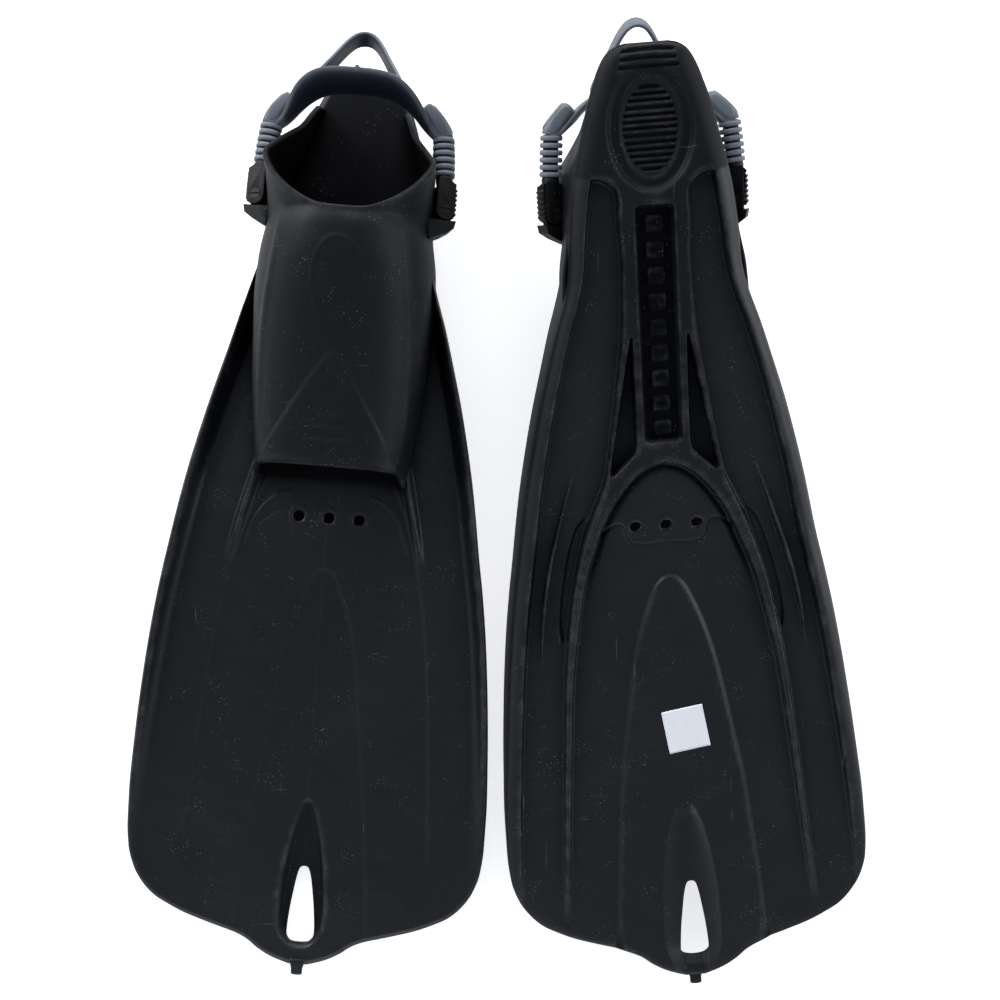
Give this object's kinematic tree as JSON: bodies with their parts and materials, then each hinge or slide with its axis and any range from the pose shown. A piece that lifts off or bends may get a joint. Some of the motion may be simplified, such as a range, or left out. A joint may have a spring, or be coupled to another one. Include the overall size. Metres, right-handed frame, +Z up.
{
  "type": "swim fins",
  "caption": "Pair of open-heel swim fins with vented, railed blades, foot pockets, ribbed sole frames and elastic heel straps on pivoting clips; one lies sole down, one sole up.",
  "frame": {"origin": "on the ground, midway between the two fins and midway along them", "axes": "+Y towards the heels, -Y towards the blade tips, +Z up, +X from the sole-down fin to the sole-up fin"},
  "size_m": [0.4848, 0.6196, 0.1262],
  "materials": {
    "fin_rubber": "satin moulded thermoplastic rubber, scuffed",
    "clip_plastic": "matte moulded plastic",
    "screw_black": "blackened steel",
    "bungee_core": "matte elastomer cord",
    "strap_grey": "soft matte elastomer",
    "label_paper": "blank adhesive paper label"
  },
  "bodies": {
    "left_fin": {"left_fin_blade": "fin_rubber", "left_fin_sole_frame": "fin_rubber", "left_fin_foot_pocket": "fin_rubber", "left_fin_strap_post_l": "fin_rubber", "left_fin_strap_post_r": "fin_rubber"},
    "right_fin": {"right_fin_blade": "fin_rubber", "right_fin_sole_frame": "fin_rubber", "right_fin_foot_pocket": "fin_rubber", "right_fin_strap_post_l": "fin_rubber", "right_fin_strap_post_r": "fin_rubber", "right_fin_label": "label_paper"},
    "left_clip_l": {"left_fin_clip_l": "clip_plastic", "left_fin_pivot_screw_l": "screw_black", "left_fin_pivot_barrel_l": "screw_black"},
    "left_clip_r": {"left_fin_clip_r": "clip_plastic", "left_fin_pivot_screw_r": "screw_black", "left_fin_pivot_barrel_r": "screw_black"},
    "left_cord_ends": {"left_fin_cord_stop_l": "bungee_core", "left_fin_cord_stop_r": "bungee_core"},
    "left_sleeves": {"left_fin_sleeve_l": "strap_grey", "left_fin_sleeve_r": "strap_grey", "left_fin_bungee_l": "bungee_core", "left_fin_bungee_r": "bungee_core"},
    "left_strap": {"left_fin_heel_strap": "strap_grey"},
    "right_clip_l": {"right_fin_clip_l": "clip_plastic", "right_fin_pivot_screw_l": "screw_black", "right_fin_pivot_barrel_l": "screw_black"},
    "right_clip_r": {"right_fin_clip_r": "clip_plastic", "right_fin_pivot_screw_r": "screw_black", "right_fin_pivot_barrel_r": "screw_black"},
    "right_cord_ends": {"right_fin_cord_stop_l": "bungee_core", "right_fin_cord_stop_r": "bungee_core"},
    "right_sleeves": {"right_fin_sleeve_l": "strap_grey", "right_fin_sleeve_r": "strap_grey", "right_fin_bungee_l": "bungee_core", "right_fin_bungee_r": "bungee_core"},
    "right_strap": {"right_fin_heel_strap": "strap_grey"}
  },
  "joints": [
    {"name": "left_strap_sway", "type": "hinge", "parent": "left_fin", "child": "left_clip_l", "pos_m": [-0.14908, 0.20126, 0.04923], "axis": [-0.3027, 0.0898, 0.9489], "range_deg": [-5, 5]},
    {"name": "left_clip_r_turn", "type": "hinge", "parent": "left_fin", "child": "left_clip_r", "pos_m": [-0.03447, 0.19184, 0.04923], "axis": [0.3133, 0.0391, 0.9489], "range_deg": [-5, 5]},
    {"name": "left_cord_end_turn", "type": "hinge", "parent": "left_clip_l", "child": "left_cord_ends", "pos_m": [-0.14822, 0.2118, 0.0485], "axis": [-0.3027, 0.0898, 0.9489], "range_deg": [-5, 5]},
    {"name": "left_strap_swing", "type": "hinge", "parent": "left_cord_ends", "child": "left_sleeves", "pos_m": [-0.09008, 0.21724, 0.04781], "axis": [0.9966, -0.0819, 0], "range_deg": [-10, 40]},
    {"name": "left_strap_stretch", "type": "slide", "parent": "left_sleeves", "child": "left_strap", "axis": [0.0817, 0.9943, -0.068], "range_m": [0, 0.045], "deforming": ["left_fin_sleeve_l", "left_fin_sleeve_r", "left_fin_bungee_l", "left_fin_bungee_r"]},
    {"name": "right_strap_sway", "type": "hinge", "parent": "right_fin", "child": "right_clip_l", "pos_m": [0.14913, 0.19766, 0.06036], "axis": [0.2875, 0.2738, -0.9178], "range_deg": [-5, 5]},
    {"name": "right_clip_r_turn", "type": "hinge", "parent": "right_fin", "child": "right_clip_r", "pos_m": [0.03451, 0.18824, 0.06036], "axis": [-0.3284, 0.2232, -0.9178], "range_deg": [-5, 5]},
    {"name": "right_cord_end_turn", "type": "hinge", "parent": "right_clip_l", "child": "right_cord_ends", "pos_m": [0.14829, 0.20786, 0.06314], "axis": [0.2875, 0.2738, -0.9178], "range_deg": [-5, 5]},
    {"name": "right_strap_swing", "type": "hinge", "parent": "right_cord_ends", "child": "right_sleeves", "pos_m": [0.09018, 0.21296, 0.06582], "axis": [-0.9966, -0.0819, 0], "range_deg": [-10, 40]},
    {"name": "right_strap_stretch", "type": "slide", "parent": "right_sleeves", "child": "right_strap", "axis": [-0.0791, 0.9618, 0.2622], "range_m": [0, 0.045], "deforming": ["right_fin_sleeve_l", "right_fin_sleeve_r", "right_fin_bungee_l", "right_fin_bungee_r"]},
    {"name": "right_fin_lift", "type": "slide", "parent": "left_fin", "child": "right_fin", "axis": [0, 0, 1], "range_m": [0, 0.15]}
  ],
  "couplings": [
    {"joint": "left_clip_r_turn", "follows": "left_strap_sway", "ratio": 1},
    {"joint": "left_cord_end_turn", "follows": "left_strap_sway", "ratio": -1},
    {"joint": "right_clip_r_turn", "follows": "right_strap_sway", "ratio": 1},
    {"joint": "right_cord_end_turn", "follows": "right_strap_sway", "ratio": -1}
  ]
}
